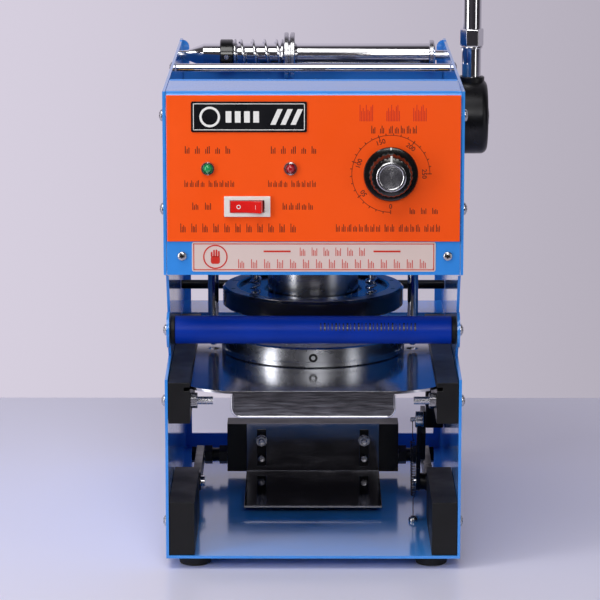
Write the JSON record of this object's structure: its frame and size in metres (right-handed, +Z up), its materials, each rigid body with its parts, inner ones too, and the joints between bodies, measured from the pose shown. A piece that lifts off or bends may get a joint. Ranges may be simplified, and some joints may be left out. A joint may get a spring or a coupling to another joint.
{
  "type": "cup sealing machine",
  "caption": "Hand-operated cup sealing machine: lever press head, sliding cup drawer with lifter, film roll shaft and heated control panel in a folded sheet case.",
  "frame": {"origin": "bottom centre of the bounding box, on the plane of the rubber feet", "axes": "+Z up, the handle's direction at rest; -Y out of the control panel towards the user; +X to the user's right, the handle's side"},
  "size_m": [0.24, 0.3364, 0.5748],
  "materials": {
    "blue_paint": "glossy enamel",
    "orange_panel": "satin printed sheet",
    "black_plastic": "satin moulded",
    "knob_black": "glossy moulded",
    "black_metal": "satin black",
    "chrome": "polished",
    "stainless": "polished sheet",
    "aluminium": "turned",
    "bush_brass": "turned",
    "rubber": "matt",
    "roller_blue": "semi-gloss sleeve",
    "lens_green": "clear lens",
    "lens_red": "clear lens",
    "rocker_red": "glossy moulded",
    "switch_white": "satin moulded"
  },
  "bodies": {
    "frame": {"chassis": "blue_paint", "foot_front_left": "rubber", "foot_back_left": "rubber", "foot_front_right": "rubber", "foot_back_right": "rubber", "rear_cover": "blue_paint", "cable_gland": "black_plastic", "rear_shelf": "blue_paint", "front_cover": "blue_paint", "control_panel": "orange_panel", "heat_lamp": "lens_green", "temp_lamp": "lens_red", "switch_housing": "switch_white", "thermostat_body": "black_plastic", "upper_rail_left": "black_plastic", "base_rail_left": "black_plastic", "upper_rail_right": "black_plastic", "base_rail_right": "black_plastic", "guide_beam": "aluminium", "shaft_bush_left": "bush_brass", "shaft_bush_right": "bush_brass", "return_spring": "chrome", "roller_axle": "chrome", "film_guide_rod": "chrome", "film_guide_bar": "black_metal", "lifter_pivot_left": "stainless", "lifter_pivot_right": "stainless"},
    "rocker": {"switch_rocker": "rocker_red"},
    "knob": {"thermostat_knob": "knob_black"},
    "drawer": {"drawer_plate": "stainless", "cup_ring": "aluminium"},
    "head": {"head_plate": "aluminium", "heater_carrier": "aluminium", "heater_block": "aluminium", "cutter_ring": "stainless", "head_spring_front_left": "chrome", "head_spring_back_left": "chrome", "head_spring_front_right": "chrome", "head_spring_back_right": "chrome", "locating_pin_left": "chrome", "locating_pin_right": "chrome", "ram": "black_metal"},
    "press": {"press_ring": "black_metal"},
    "handle": {"drive_shaft": "stainless", "pinion": "stainless", "handle_hub": "black_metal", "handle_rod": "chrome", "handle_coupling": "chrome", "handle_knob": "knob_black"},
    "takeup": {"takeup_roller": "roller_blue"},
    "roll": {"roll_shaft": "chrome", "roll_collar_left": "black_plastic", "roll_collar_right": "aluminium", "roll_spring": "chrome"},
    "roll_flange_body": {"roll_flange": "aluminium"},
    "lifter_arms": {"lifter_arm_left": "black_metal", "lifter_arm_right": "black_metal"},
    "lifter_platform": {"lifter_shaft": "stainless", "lifter_block": "black_plastic", "lifter_plate": "stainless"}
  },
  "joints": [
    {"name": "handle_turn", "type": "hinge", "parent": "frame", "child": "handle", "pos_m": [-0.01402, -0.00475, 0.3058], "axis": [1, 0, 0], "range_deg": [0, 90], "stiffness_Nm_per_rad": 0.9, "springref_deg": -51.57},
    {"name": "head_press", "type": "slide", "parent": "frame", "child": "head", "axis": [0, 0, -1], "range_m": [0, 0.0189]},
    {"name": "press_ring_lift", "type": "slide", "parent": "head", "child": "press", "axis": [0, 0, 1], "range_m": [0, 0.006], "stiffness_N_per_m": 3000, "springref_m": -0.005, "deforming": ["head_spring_front_left", "head_spring_back_left", "head_spring_front_right", "head_spring_back_right"]},
    {"name": "drawer_slide", "type": "slide", "parent": "frame", "child": "drawer", "axis": [0, -1, 0], "range_m": [0, 0.12]},
    {"name": "lifter_raise", "type": "hinge", "parent": "frame", "child": "lifter_arms", "pos_m": [-0.01402, -0.00775, 0.0269], "axis": [1, 0, 0], "range_deg": [0, 58.1]},
    {"name": "lifter_level", "type": "hinge", "parent": "lifter_arms", "child": "lifter_platform", "pos_m": [-0.01402, 0.07325, 0.0269], "axis": [1, 0, 0], "range_deg": [-58.1, 0]},
    {"name": "takeup_spin", "type": "hinge", "parent": "frame", "child": "takeup", "pos_m": [-0.01402, -0.10875, 0.1661], "axis": [1, 0, 0], "continuous": true},
    {"name": "roll_spin", "type": "hinge", "parent": "frame", "child": "roll", "pos_m": [-0.01402, 0.14425, 0.333], "axis": [1, 0, 0], "continuous": true},
    {"name": "roll_flange_slide", "type": "slide", "parent": "roll", "child": "roll_flange_body", "axis": [1, 0, 0], "range_m": [0, 0.06]},
    {"name": "knob_turn", "type": "hinge", "parent": "frame", "child": "knob", "pos_m": [0.03977, -0.16075, 0.2868], "axis": [0, 1, 0], "range_deg": [-176, 92]},
    {"name": "rocker_tilt", "type": "hinge", "parent": "frame", "child": "rocker", "pos_m": [-0.06023, -0.15375, 0.2639], "axis": [0, 0, 1], "range_deg": [0, 20]}
  ],
  "couplings": [
    {"joint": "head_press", "follows": "handle_turn", "m_per_rad": 0.012},
    {"joint": "lifter_raise", "follows": "drawer_slide", "rad_per_m": 8.45},
    {"joint": "lifter_level", "follows": "drawer_slide", "rad_per_m": -8.45}
  ]
}
